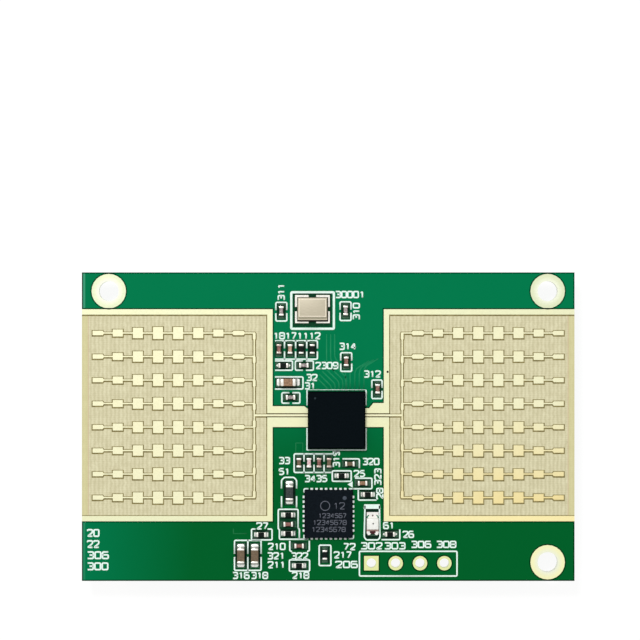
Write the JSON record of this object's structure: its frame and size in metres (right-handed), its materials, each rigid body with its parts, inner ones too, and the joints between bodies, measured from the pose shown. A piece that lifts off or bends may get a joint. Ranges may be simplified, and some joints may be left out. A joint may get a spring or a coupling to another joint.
{
  "type": "microwave radar sensor module",
  "caption": "Populated radar sensor board: two gold patch-antenna arrays in bare windows beside a radar chip, with a wire connector under one corner.",
  "frame": {"origin": "centre of the board's outline, at the height of the lowest face, that of the wire connector under the board", "axes": "+X along the board's length to the right as it is read, +Y to its top edge, +Z out of the populated side"},
  "size_m": [0.0514, 0.0322, 0.0054],
  "materials": {
    "gold_plate": "smooth gold plating",
    "solder_mask": "glossy green lacquer",
    "laminate": "bare woven glass laminate",
    "chip_moulding": "matt black moulding",
    "crystal_ceramic": "fired ceramic",
    "crystal_metal": "satin plated metal",
    "led_lens": "milky lens",
    "black_glaze": "black glaze with tinned ends",
    "capacitor_ceramic": "fired ceramic with tinned ends",
    "housing_nylon": "natural nylon",
    "contact_metal": "gold flashed",
    "tab_metal": "tinned strip"
  },
  "bodies": {
    "root": {"bias_resistor_above": "black_glaze", "bias_resistor_beside": "black_glaze", "boot_resistor_high": "black_glaze", "boot_resistor_low": "black_glaze", "bulk_capacitor": "capacitor_ceramic", "connector_contact_1": "contact_metal", "connector_contact_2": "contact_metal", "connector_contact_3": "contact_metal", "connector_contact_4": "contact_metal", "connector_housing": "housing_nylon", "connector_tab_front": "tab_metal", "connector_tab_rear": "tab_metal", "core_capacitor": "capacitor_ceramic", "corner_capacitor": "capacitor_ceramic", "crystal_base": "crystal_ceramic", "crystal_capacitor_left": "capacitor_ceramic", "crystal_capacitor_right": "capacitor_ceramic", "crystal_lid": "crystal_metal", "decoupling_capacitor_1": "capacitor_ceramic", "decoupling_capacitor_2": "capacitor_ceramic", "decoupling_capacitor_3": "capacitor_ceramic", "decoupling_capacitor_4": "capacitor_ceramic", "ferrite_bead": "black_glaze", "filter_part_1": "capacitor_ceramic", "filter_part_2": "capacitor_ceramic", "filter_part_3": "black_glaze", "filter_part_4": "black_glaze", "front_solder_mask": "solder_mask", "header_pad_1": "gold_plate", "header_pad_2": "gold_plate", "header_pad_3": "gold_plate", "header_pad_4": "gold_plate", "input_capacitor_1": "capacitor_ceramic", "input_capacitor_2": "capacitor_ceramic", "input_resistor": "black_glaze", "laminate_board": "laminate", "led_resistor": "black_glaze", "left_lower_ground_frame": "gold_plate", "left_patch_antenna": "gold_plate", "left_upper_ground_frame": "gold_plate", "loop_capacitor": "capacitor_ceramic", "loop_resistor": "black_glaze", "microcontroller": "chip_moulding", "mounting_ring_bottom_right": "gold_plate", "mounting_ring_top_left": "gold_plate", "mounting_ring_top_right": "gold_plate", "radar_chip": "chip_moulding", "rear_solder_mask": "solder_mask", "reference_capacitor": "capacitor_ceramic", "reset_capacitor": "capacitor_ceramic", "reset_resistor_lower": "black_glaze", "reset_resistor_upper": "black_glaze", "right_lower_ground_frame": "gold_plate", "right_patch_antenna": "gold_plate", "right_upper_ground_frame": "gold_plate", "status_led": "led_lens", "supply_capacitor_below": "capacitor_ceramic", "supply_capacitor_left": "capacitor_ceramic", "supply_capacitor_right": "capacitor_ceramic"}
  },
  "joints": []
}
